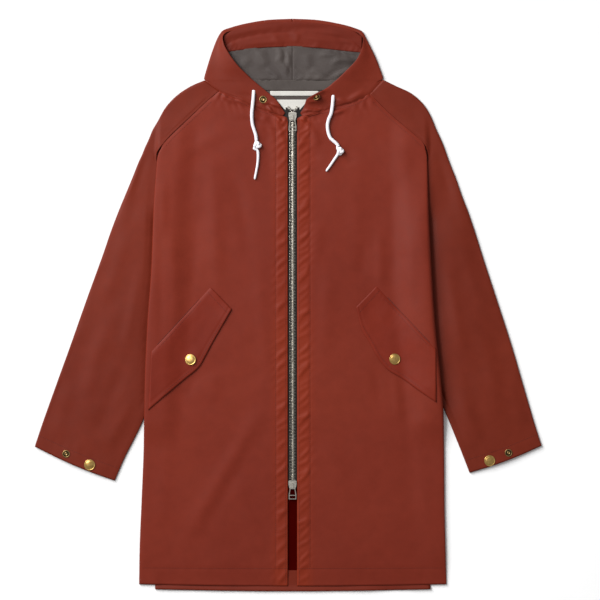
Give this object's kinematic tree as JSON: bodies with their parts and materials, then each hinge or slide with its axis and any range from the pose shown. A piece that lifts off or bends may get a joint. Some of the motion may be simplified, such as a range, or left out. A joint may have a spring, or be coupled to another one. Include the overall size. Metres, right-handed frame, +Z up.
{
  "type": "raincoat",
  "caption": "Hooded raglan raincoat in red-brown waxed cloth, laid flat and zipped up, with a grey-lined drawcord hood, slanted pocket flaps and snap cuffs.",
  "frame": {"origin": "middle of the box of the laid coat, on the table", "axes": "+X towards the wearer's left sleeve, +Y from the hem towards the hood, +Z up from the table"},
  "size_m": [0.912, 1.0298, 0.0144],
  "materials": {
    "red_cloth": "dry waxed cotton, soft sheen",
    "grey_lining": "smooth twill lining",
    "white_tape": "woven tape",
    "brass_snap": "antiqued, polished crown",
    "zip_tape": "woven",
    "zip_metal": "nickel",
    "white_cord": "braided cotton"
  },
  "bodies": {
    "root": {"back": "red_cloth", "front_right": "red_cloth", "front_left": "red_cloth", "sleeve_right": "red_cloth", "sleeve_left": "red_cloth", "hood_right": "red_cloth", "hood_left": "red_cloth", "hood_facing": "red_cloth", "hood_lining_right": "grey_lining", "hood_lining_left": "grey_lining", "neck_band": "grey_lining", "yoke_lining": "grey_lining", "hanger_tape": "white_tape", "neck_label": "white_tape", "pocket_flap_right": "red_cloth", "pocket_flap_left": "red_cloth", "flap_snap_right": "brass_snap", "flap_snap_left": "brass_snap", "cuff_cap_right": "brass_snap", "cuff_cap_left": "brass_snap", "cuff_stud_right": "brass_snap", "cuff_stud_left": "brass_snap", "neck_stud_right": "brass_snap", "neck_cap_left": "brass_snap", "zip_tape_right": "zip_tape", "zip_tape_left": "zip_tape", "zip_chain": "zip_metal", "zip_stop_right": "zip_metal", "zip_stop_left": "zip_metal", "zip_slider_bottom": "zip_metal", "zip_slider_top": "zip_metal", "drawcord_right": "white_cord", "cord_knot_right": "white_cord", "drawcord_right_tail": "white_cord", "drawcord_left": "white_cord", "cord_knot_left": "white_cord", "drawcord_left_tail": "white_cord"},
    "pull_top": {"zip_pull_top": "zip_metal"},
    "pull_bottom": {"zip_pull_bottom": "zip_metal"}
  },
  "joints": [
    {"name": "pull_top_flip", "type": "hinge", "parent": "root", "child": "pull_top", "pos_m": [0.0077, 0.3338, 0.00775], "axis": [-1, 0, 0], "range_deg": [0, 160]},
    {"name": "pull_bottom_flip", "type": "hinge", "parent": "root", "child": "pull_bottom", "pos_m": [0.0077, -0.3281, 0.00775], "axis": [-1, 0, 0], "range_deg": [0, 160]}
  ]
}
